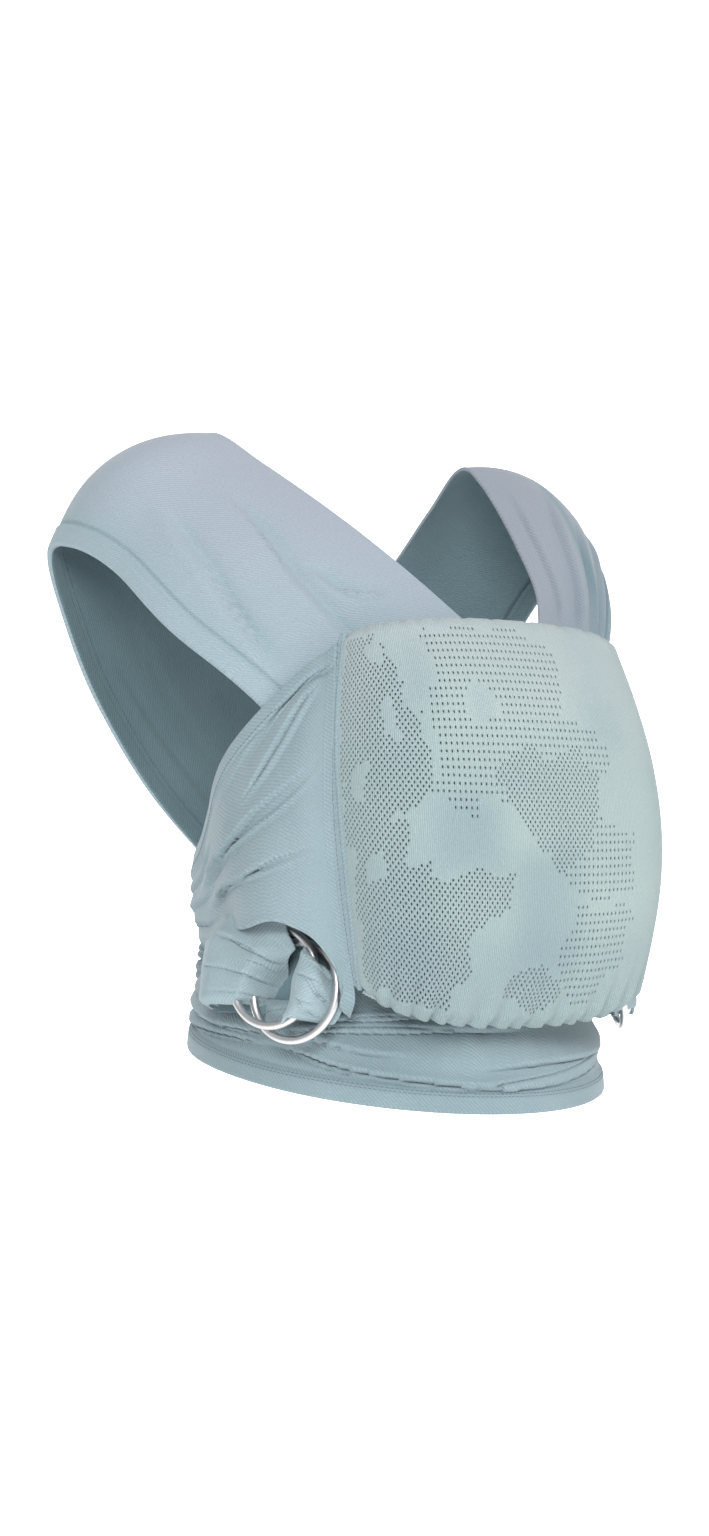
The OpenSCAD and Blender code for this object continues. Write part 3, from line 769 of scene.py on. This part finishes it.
def settle_columns(normals, passes=6):
    """Normals averaged along the rows, so that a strip laid over a sharp edge stays smooth."""
    for _ in range(passes):
        padded = np.pad(normals, ((0, 0), (1, 1), (0, 0)))
        normals = unit(normals + padded[:, :-2] + padded[:, 2:])
    return normals
WING_FOLDS = [
    ([(0.02, 0.97), (0.10, 0.955), (0.19, 0.925), (0.26, 0.85), (0.33, 0.77), (0.42, 0.66)],
     UP, 0.8, 2.4, (3, 6), 1.6, (0.1, 0.5)),
    ([(0.04, 0.93), (0.12, 0.88), (0.18, 0.79), (0.24, 0.68), (0.32, 0.58)],
     UP, 3.2, 3.6, (11, 10), 4.5, (0.2, 0.4)),
    ([(0.01, 0.69), (0.08, 0.62), (0.17, 0.55), (0.29, 0.46), (0.41, 0.41), (0.47, 0.40), (0.60, 0.42)],
     UP, 5.6, 5.4, (13, 11), 3.2, (0.35, 0.35)),
    ([(0.03, 0.41), (0.15, 0.35), (0.27, 0.27), (0.36, 0.25), (0.44, 0.22), (0.56, 0.22)],
     UP, 4.0, 3.6, (10, 9), 2.6, (0.35, 0.3)),
    ([(0.40, 0.62), (0.50, 0.60), (0.62, 0.58), (0.78, 0.60)], UP, 2.2, 2.0, (6, 6), 2.4, (0.25, 0.3)),
    ([(0.42, 0.33), (0.52, 0.34), (0.66, 0.35), (0.84, 0.38)], UP, 2.2, 2.0, (6, 6), 2.4, (0.25, 0.3)),
    ([(0.44, 0.11), (0.55, 0.10), (0.70, 0.15), (0.86, 0.20)], UP, 1.8, 1.6, (6, 6), 2.4, (0.25, 0.3)),
    ([(0.46, 0.80), (0.60, 0.76), (0.80, 0.74)], UP, 1.6, 1.5, (6, 6), 2.4, (0.3, 0.3))]


def make_wing(side):
    mirrored = side == "left"

    def surface(t, w):
        g = wing_surface(t, w)
        if mirrored:
            g = g * MIRROR
            g[..., 0] += 2 * PANEL_X * MM * np.maximum(0, 1 - np.asarray(t) / 0.3)
        return g
    # The columns lie closer together in the hem along the upper edge.
    columns = np.concatenate([np.linspace(0, 0.9, 114, endpoint=False), np.linspace(0.9, 1, 36)])
    t, spread = grid(np.linspace(0, 1, 300), columns)
    # The lower edge rises where the rings hang, and then runs down behind the anchor to the band.
    low_edge = 0.095 * np.exp(-(np.abs(t - 0.185) / 0.115) ** 3) - 0.075 * rise(-t, -0.07, -0.035)
    low_edge = low_edge - 0.5 * rise(t, 0.37, 0.46)
    w = low_edge + (1 - low_edge) * spread
    g = surface(t, w)
    normals = grid_normals(g) * (1 if mirrored else -1)
    lift = creases(g, (t, w), surface, WING_FOLDS)
    lift += waves(t, w, 21 if mirrored else 20, 1.6, 5, 2.5) * rise(t, 0.0, 0.1)
    lift += 0.6 * MM * rise(-t, -0.03, 0.0) - 4 * MM * hump(t, 0.56, 0.14) * rise(-w, -0.4, -0.05)
    lift -= 7 * MM * rise(t, 0.33, 0.5) + 14 * MM * rise(-w, 0.02, 0.10) * rise(-t, -0.2, -0.1)
    lift -= (13 * hump(t, 0.42, 0.09) + 5 * rise(t, 0.5, 0.6)) * MM * rise(-w, 0.0, 0.25)
    g = g + normals * lift[..., None]
    if not mirrored:
        g = g[:, ::-1]
    from_top = edge_distance(g, last=mirrored)
    from_low = edge_distance(g, last=not mirrored)
    thick = CLOTH_THICK + hem_thickness(from_top, 12.0, 1.3) + 0.9 * hump(from_low, 0, 2.2)
    seam = (travel(g[:, g.shape[1] // 2]) / MM)[:, None]
    thick = thick + 1.0 * rise(-seam, -7.0, -6.0)
    thick = thick - 0.6 * hump(seam, 4.5, 0.8) - 0.6 * hump(seam, 2.0, 0.8)
    wing = cloth(f"{side}_wing_cloth", g, (BODY, BODY_IN_SHADED), thick)
    place(wing, "body_jersey", f"{side}_wing")
    rows = [stitch_row(f"{side}_wing_stitches_{k + 1}", "body_jersey", g, from_top, inset, 1.5,
                       slice(6, None)) for k, inset in enumerate((8.2, 10.0))]
    top = column_line(g, from_top, 0.0)[0]
    binding = tube(f"{side}_wing_edge_roll", top[3:-3], 1.9, [BODY], squeeze=0.9)
    place(binding, "binding_jersey", f"{side}_wing_binding")
    rows.append(binding)
    # The seam welt is a strip from the panel over its edge to the wing, pressed round and puckered.
    v, across = grid(np.linspace(0.012, 1, 240), np.linspace(0, 1, 15))
    edge = 1 if mirrored else -1
    on_panel, on_edge, on_wing = panel_surface(edge * 0.968, v), panel_surface(edge, v), surface(0.013, v)
    share = across[..., None] * 2
    strip = np.where(share < 1, on_panel + (on_edge - on_panel) * share,
                     on_edge + (on_wing - on_edge) * (share - 1))
    out = grid_normals(strip) * -edge
    pressed = (1.9 * np.sin(math.pi * across) ** 0.5 - 0.7 * hump(across, 0.28, 0.06)
               - 0.7 * hump(across, 0.72, 0.06))
    puckers = 0.35 * np.sin(v * 260 + 3 * np.sin(v * 40)) * hump(across, 0.5, 0.3)
    strip = strip + settle_columns(out) * ((pressed + puckers) * MM)[..., None]
    if mirrored:
        strip = strip[:, ::-1]
    welt = cloth(f"{side}_seam_welt", strip, (BODY, BODY_IN_SHADED), 1.6, rim=2)
    rows.append(place(welt, "body_jersey"))
    look = grid_normals(strip)
    rows += [place(stitches(f"{side}_seam_stitches_{k + 1}", strip[:, c] + look[:, c] * 0.85 * MM,
                            look[:, c]), "body_jersey") for k, c in enumerate(SEAM_STITCH_COLUMNS)]


# ---- waist band -----------------------------------------------------------------------------

BAND_HALF_WIDE, BAND_HALF_DEEP, BAND_Y, BAND_HIGH = 138, 142, -56, 78
BAND_PROUD = (6, 5, 1, 0, -3, -6, -8, -9)


def band_surface(a, h):
    """a is degrees round from the centre front towards the left, h is 0 at the hem and 1 at the top."""
    a, h = np.broadcast_arrays(np.radians(a), np.asarray(h, float))
    proud = along(BAND_PROUD, h)
    x, y = BAND_HALF_WIDE * np.sin(a), BAND_Y - BAND_HALF_DEEP * np.cos(a)
    z = 0.15 * (y + 207) - 0.03 * x + BAND_HIGH * h
    return np.stack([x + proud * np.sin(a), y - proud * np.cos(a), z], -1) * MM


BAND_FOLDS = [
    ([(-74, 0.36), (-62, 0.33), (-53, 0.26), (-44, 0.23), (-35, 0.21), (-18, 0.18), (-7, 0.195),
      (2, 0.23), (13, 0.265), (30, 0.33), (50, 0.39), (75, 0.42), (100, 0.44)],
     UP, 5.0, 3.2, (10, 6), 1.5, (0.12, 0.2)),
    ([(-60, 0.60), (-48, 0.62), (-42, 0.66), (-30, 0.72), (-14, 0.74)],
     UP, 3.0, 2.0, (5, 4), 1.4, (0.15, 0.4)),
    ([(-64, 0.46), (-53, 0.52), (-44, 0.575), (-30, 0.63), (-14, 0.65), (10, 0.66)],
     UP, 4.0, 2.6, (7, 5), 1.4, (0.2, 0.3)),
    ([(-60, 0.47), (-54, 0.44), (-46, 0.41), (-37, 0.40), (-24, 0.42)],
     UP, 3.0, 2.2, (7, 6), 1.4, (0.2, 0.4)),
    ([(-16, 0.29), (-2, 0.35), (9, 0.38), (20, 0.385), (38, 0.38), (56, 0.37)],
     UP, 3.6, 2.6, (8, 6), 1.6, (0.35, 0.3)),
    ([(-150, 0.40), (-126, 0.37), (-103, 0.36), (-88, 0.345), (-70, 0.39), (-60, 0.42)],
     UP, 3.4, 4.0, (5, 4), 1.4, (0.2, 0.3)),
    ([(-150, 0.22), (-126, 0.21), (-108, 0.21), (-87, 0.26), (-72, 0.31), (-60, 0.33)],
     UP, 3.2, 3.6, (5, 5), 1.4, (0.2, 0.3)),
    ([(-150, 0.55), (-120, 0.50), (-95, 0.49), (-80, 0.51), (-66, 0.56)],
     UP, 2.2, 2.4, (5, 5), 1.0, (0.2, 0.3)),
    ([(58, 0.55), (75, 0.52), (95, 0.50), (125, 0.53), (150, 0.57)],
     UP, 2.4, 2.2, (6, 5), 1.0, (0.25, 0.3)),
    ([(60, 0.26), (80, 0.24), (105, 0.22), (140, 0.24)], UP, 2.4, 2.2, (6, 5), 1.0, (0.25, 0.3)),
    ([(66, 0.70), (90, 0.66), (120, 0.68), (150, 0.72)], UP, 2.0, 2.0, (6, 5), 1.0, (0.25, 0.3))]
BACK_FOLDS = [
    ([(118, 0.34), (150, 0.38), (180, 0.36), (210, 0.34), (238, 0.36)],
     UP, 2.4, 2.0, (7, 6), 1.0, (0.2, 0.2)),
    ([(124, 0.60), (160, 0.57), (200, 0.58), (236, 0.62)], UP, 2.0, 1.8, (7, 6), 1.2, (0.2, 0.2))]


def make_band():
    a, h = grid(np.linspace(-180, 180, 560, endpoint=False), np.linspace(0, 1, 84))
    g = band_surface(a, h)
    normals = grid_normals(g, closed=True)
    outward = int(np.sign((normals * (g - np.array([0, BAND_Y * MM, 0.06]))).sum(-1).mean()))
    lift = creases(g, (a, h), band_surface, BAND_FOLDS)
    lift += creases(g, (np.where(a < 0, a + 360, a), h), band_surface, BACK_FOLDS)
    lift += waves(a / 360, h, 31, 1.4, 9, 2) * np.cos(np.radians(a) / 2) ** 0.3
    # On the right side the band swells below half height, and is drawn in under the wing.
    lift += 1.6 * MM * hump(h, 0.40, 0.14) * rise(-a, 55, 75)
    lift -= 9 * MM * rise(h, 0.60, 0.78) * rise(-a, 48, 64) * rise(a, -150, -125)
    g = (g + normals * outward * lift[..., None])[:, ::outward]
    from_hem = edge_distance(g, last=outward < 0)
    band = cloth("waist_band_cloth", g, (BODY, BODY_IN_SHADED), CLOTH_THICK + hem_thickness(from_hem, 13.0, 1.2),
                 closed=True)
    place(band, "body_jersey", "waist_band")
    for k, inset in enumerate((9.2, 11.0)):
        path, look = column_line(g, from_hem, inset)
        look = unit(look)
        path = path + look * HEM_TOP * MM
        place(stitches(f"waist_band_stitches_{k + 1}", np.concatenate([path, path[:1]]),
                                   np.concatenate([look, look[:1]])), "body_jersey")


# ---- ring anchors and tails -----------------------------------------------------------------

RING_ORIGIN = np.array([-126.5, -143, 79.2]) * MM
RING_AXES = np.array([[0.47064, -0.88232, 0.0], [0.16562, 0.08834, 0.98223],
                      [-0.86664, -0.46228, 0.18771]])
RING_RADIUS = 31.6
UPPER_AT = (-13.3, 8.0, 6.6)  # the upper ring's middle, measured from the lower one's


def from_ring_frame(x, y, z, mirrored):
    """Points in mm along the rings' own fore, up and outward directions, brought to the row frame."""
    local = np.stack(np.broadcast_arrays(x, y, z), -1).astype(float) * MM
    return (RING_ORIGIN + local @ RING_AXES) * (MIRROR if mirrored else 1)


def outward_from_hip(mirrored):
    return RING_AXES[2] * (MIRROR if mirrored else 1)


# The end of the gathered strap over the rings: height and place of each of its points.
ANCHOR_RIGHT = ((-14, -24), (-8, -22), (0, -18), (11, -14), (18, -9), (26, -1), (34, -3), (41, -5.5),
                (54, -9))


def anchor_right(y):
    heights, places = zip(*ANCHOR_RIGHT)
    return np.interp(y, heights, places)


def anchor_height(x, y):
    """How far the gathered strap stands out over the rings, at x and y in their frame."""
    crown = 12.6 + 1.6 * hump(y, 14, 14) - 6.0 * rise(y, 28, 46) * rise(-x, 22, 50)
    end = -12 + 16.6 * rise(y, 8, 24) + 6.4 * rise(y, 27, 36)
    last = anchor_right(y)
    width = 17 + 5 * rise(y, 14, 24)
    return crown - rise(x, last - width, last) * (crown - end)


ANCHOR_FOLDS = [
    ([(-60, 35), (-44, 31), (-28, 25), (-17, 20), (-8, 17)], UP, 2.6, 2.2, (8, 7), 1.0, (0.1, 0.3)),
    ([(-70, 14), (-52, 13), (-36, 10), (-24, 6), (-14, 2)], UP, 2.2, 2.0, (8, 7), 1.2, (0.2, 0.3)),
    ([(-66, -2), (-48, -2), (-32, -3), (-20, -5)], UP, 1.6, 1.2, (6, 4), 1.2, (0.3, 0.2)),
    ([(-40, 20), (-28, 16), (-16, 12)], UP, 1.0, 0.9, (4, 4), 1.2, (0.5, 0.3))]
ANCHOR_REAR = -56  # where the gathered strap turns in towards the hip
TURN_SHARE, TURN_LONG, TURN_DEEP = 0.34, 30, 34.6  # its share of the columns, its size in mm


def make_anchor(side):
    mirrored = side == "left"

    def surface(x, y):
        return from_ring_frame(x, y, anchor_height(x, y), mirrored)
    s, q = grid(np.linspace(0, 1, 100), np.linspace(0, 1, 110))
    y = -11 + (63 - 20 * rise(-q, -0.5, -0.15)) * s
    flat = np.maximum(q - TURN_SHARE, 0) / (1 - TURN_SHARE)
    x = ANCHOR_REAR + (anchor_right(y) - ANCHOR_REAR) * flat
    turn = np.maximum(TURN_SHARE - q, 0) / TURN_SHARE
    turned_x = x - TURN_LONG * turn
    g = from_ring_frame(turned_x, y, anchor_height(x, y) - TURN_DEEP * turn ** 1.9, mirrored)
    out = outward_from_hip(mirrored)
    lift = creases(g, (turned_x, y), surface, ANCHOR_FOLDS) + waves(q, s, 41, 0.8, 2.5, 2.5)
    roll = rise(-s, -0.12, 0.0) ** 2 * 6 + rise(s, 0.94, 1.0) ** 2 * 3
    order = facing(g, out)
    g = (g + grid_normals(g) * order * (lift - roll * MM)[..., None])[:, ::order]
    front = cloth(f"{side}_anchor_gathers", g, (BUNDLE_LIT, BODY_IN_SHADED), 2.0)
    place(front, "body_jersey", f"{side}_ring_anchor")
    x = -66 + (98 - 5 * (2 * s - 1) ** 2) * q
    z = -12 + 0.7 * np.sin(math.pi * q) - 0.8 * np.cos(9 * s + 4 * q) * rise(q, 0.1, 0.5)
    g = from_ring_frame(x, -14 + 62 * s, z, mirrored)
    # Painted shade: both faces of the return take the darker inside jersey, as it lies in the shade
    # behind the rings.
    back = cloth(f"{side}_anchor_return", g[:, ::facing(g, out)], (BODY_IN_SHADED, BODY_IN_SHADED), 2.0)
    place(back, "body_jersey")


KNUCKLE_FOLDS = [
    ([(0.26, 12), (0.40, 8), (0.55, 0), (0.74, -10)], UP, 1.6, 1.6, (5, 4), 0.8, (0.2, 0.15)),
    ([(0.30, -3), (0.42, -8), (0.55, -13), (0.70, -17)], UP, 1.4, 1.4, (4, 4), 0.8, (0.25, 0.2)),
    ([(0.34, 22), (0.50, 18), (0.66, 10), (0.78, 2)], UP, 1.0, 0.9, (4, 4), 1.2, (0.3, 0.2))]


def make_tail(side):
    mirrored = side == "left"

    def knuckle(share, y):
        """share from the tail's way up through the rings, over the upper one, to its way back under
        the lower one; y is the height in the rings' frame."""
        share, y = np.broadcast_arrays(np.asarray(share, float), np.asarray(y, float))
        right, above, lift = UPPER_AT
        over = right + np.sqrt(np.maximum(RING_RADIUS**2 - (y - above) ** 2, 1))
        under = np.sqrt(np.maximum(RING_RADIUS**2 - y**2, 1))
        lean = np.sqrt(np.clip(1 - ((y - above) / RING_RADIUS) ** 2, 0.05, 1))
        lean_under = np.sqrt(np.clip(1 - (y / RING_RADIUS) ** 2, 0.05, 1))
        wide = lean * (0.92 - 0.42 * rise(y, 6, 27) - 0.12 * rise(-y, -6, 12))
        route = ((over - 25 * wide, -9), (over - 21 * wide, -1.5), (over - 12.5 * wide, lift + 2.8),
                 (over - 1.5, lift + 5.4), (over + 4.4 * lean, lift + 2.6),
                 (under - 4.6 * lean_under, -2.6), (under, -5.2), (under + 2, -6.6))
        points = np.array([np.stack(np.broadcast_arrays(x, y, z), -1) for x, z in route])
        spots = along(points.reshape(len(route), -1, 3), share.ravel(), each=True)
        return from_ring_frame(*np.moveaxis(spots.reshape(*share.shape, 3), -1, 0), mirrored)
    s, q = grid(np.linspace(0, 1, 90), np.linspace(0, 1, 74))
    low = -23 if mirrored else -20
    y = low + (26 - low - 15 * rise(q, 0.3, 0.85)) * s
    g = knuckle(q, y)
    out = outward_from_hip(mirrored)
    lift = creases(g, (q, y), knuckle, KNUCKLE_FOLDS)
    lift += 1.8 * MM * np.sin(math.pi * s) * np.sin(math.pi * np.clip(q, 0, 0.62) / 0.62)
    lift -= MM * 2.5 * (rise(-s, -0.1, 0.0) ** 2 + rise(s, 0.92, 1.0) ** 2) * rise(q, 0.1, 0.3)
    order = facing(g, out, slice(20, 50))
    g = (g + grid_normals(g) * order * lift[..., None])[:, ::order]
    piece = cloth(f"{side}_tail_knuckle", g, (BUNDLE_LIT, BODY_IN_SHADED), 1.8)
    place(piece, "body_jersey", f"{side}_tail_loop", body=f"{side}_rings")
    a, b = grid(np.linspace(0, 1, 40), np.linspace(0, 1, 40))
    z = (-6.5 + 6.0 * np.sin(math.pi * a) ** 0.7 * np.sin(math.pi * b) ** 0.6
         - 1.2 * hump(a - b * 0.3, 0.35, 0.07))
    lump = from_ring_frame(-24 + 22 * b, -19 + 13 * a, z, mirrored)
    tuck = cloth(f"{side}_anchor_tuck", lump[:, ::facing(lump, out)], (BODY, BODY_IN_SHADED), 2.0)
    place(tuck, "body_jersey")


# ---- care label -----------------------------------------------------------------------------

def make_label():
    low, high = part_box("care_label")
    a, b = grid(np.linspace(0, 1, 40), np.linspace(0, 1, 30))
    middle = (low[1] + high[1]) / 2
    x = low[0] + (high[0] - low[0]) * b
    z = low[2] + (high[2] - low[2]) * a
    y = middle + 0.5 * MM * np.sin(2.6 * a + 1.0) * (1 - a) + 0.3 * MM * np.sin(5 * b) * (1 - a)
    label = cloth("care_label_tape", np.stack([x, y, z], -1), (LABEL, LABEL), 0.5)
    place(label, "label_tape", "care_label")
    ends = x[0, 2], x[0, -3]
    row = np.stack([np.linspace(*ends, 60), np.full(60, middle - 0.35 * MM),
                    np.full(60, high[2] - 3 * MM)], -1)
    stitch = place(stitches("care_label_stitches", row, np.zeros_like(row) + (0, -1, 0), radius=0.2),
                   "label_tape")


make_strap("right", RIGHT_STRAP, 3)
make_strap("left", LEFT_STRAP, 5)
make_panel()
for wing_side in ("right", "left"):
    make_wing(wing_side)
make_band()
for ring_side in ("right", "left"):
    make_anchor(ring_side)
    make_tail(ring_side)
make_label()
for name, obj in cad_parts.items():
    if name.endswith("_ring"):
        obj.data.materials.clear()
        obj.data.materials.append(RING)

# ---- stage, light, camera -------------------------------------------------------------------

CAMERA_AZIMUTH, CAMERA_RISE, CAMERA_DISTANCE = -30, -3, 1.5
CAMERA_AIM = (0, 0, 0.232)
CAMERA_LENS, SENSOR = 47.8, 36


def make_stage():
    def paint_of(name, scale, low, high, glow):
        """Near-white paint with a light of its own."""
        made, tree, shader = material(name)
        grain = node(tree, "ShaderNodeTexNoise", [("Scale", scale), ("Detail", 2.0)]).outputs[0]
        colour = mix_colours(tree, grain, (low, low, low, 1), (high, high, high, 1))
        connect(tree, shader, [("Base Color", colour), ("Roughness", 0.9),
                               ("Emission Color", (1, 1, 1, 1)), ("Emission Strength", glow)])
        return made
    size, level, top = 12.0, -0.6, 4.5
    corners = [(-size, -size, level), (size, -size, level), (size, size, level), (-size, size, level)]
    floor = paint_of("floor_paint", 3.0, 0.97, 1.0, 0.5)
    new_object("floor", corners, [(0, 1, 2, 3)], [floor])
    a = math.radians(CAMERA_AZIMUTH)
    far, across = -3.2 * np.array([math.sin(a), -math.cos(a)]), 4.5 * np.array([math.cos(a), math.sin(a)])
    left, right = far - across, far + across
    corners = [(*left, level), (*right, level), (*right, top), (*left, top)]
    backdrop = paint_of("backdrop_paint", 2.0, 0.94, 0.97, 1.0)
    new_object("backdrop", corners, [(0, 1, 2, 3)], [backdrop])


def area_light(name, place_at, aim, size, power):
    lamp = bpy.data.lights.new(name, "AREA")
    lamp.shape = "DISK"
    lamp.size = size
    lamp.energy = power
    obj = bpy.data.objects.new(name, lamp)
    obj.location = place_at
    obj.rotation_euler = (Vector(aim) - Vector(place_at)).to_track_quat("-Z", "Y").to_euler()
    bpy.context.scene.collection.objects.link(obj)


def make_light():
    world = bpy.data.worlds.new("studio")
    world.use_nodes = True
    world.node_tree.nodes["Background"].inputs[0].default_value = (1, 1, 1, 1)
    world.node_tree.nodes["Background"].inputs[1].default_value = 0.5
    bpy.context.scene.world = world
    area_light("key", (-1.2, -1.8, 1.0), (0, -0.05, 0.2), 0.9, 34)
    area_light("front", (0.5, -1.9, 1.7), (0, -0.05, 0.25), 1.2, 24)
    area_light("back", (0.4, 1.8, 1.6), (0, 0, 0.3), 1.4, 8)
    view = bpy.context.scene.view_settings
    view.view_transform = "Standard"
    view.look = "None"


def make_camera():
    lens = bpy.data.cameras.new("camera")
    lens.sensor_fit = "VERTICAL"
    lens.sensor_height = SENSOR
    lens.lens = CAMERA_LENS
    camera = bpy.data.objects.new("camera", lens)
    a, e = math.radians(CAMERA_AZIMUTH), math.radians(CAMERA_RISE)
    back = Vector((math.sin(a) * math.cos(e), -math.cos(a) * math.cos(e), math.sin(e)))
    camera.location = Vector(CAMERA_AIM) + back * CAMERA_DISTANCE
    camera.rotation_euler = back.to_track_quat("Z", "Y").to_euler()
    bpy.context.scene.collection.objects.link(camera)
    bpy.context.scene.camera = camera


make_stage()
make_light()
make_camera()
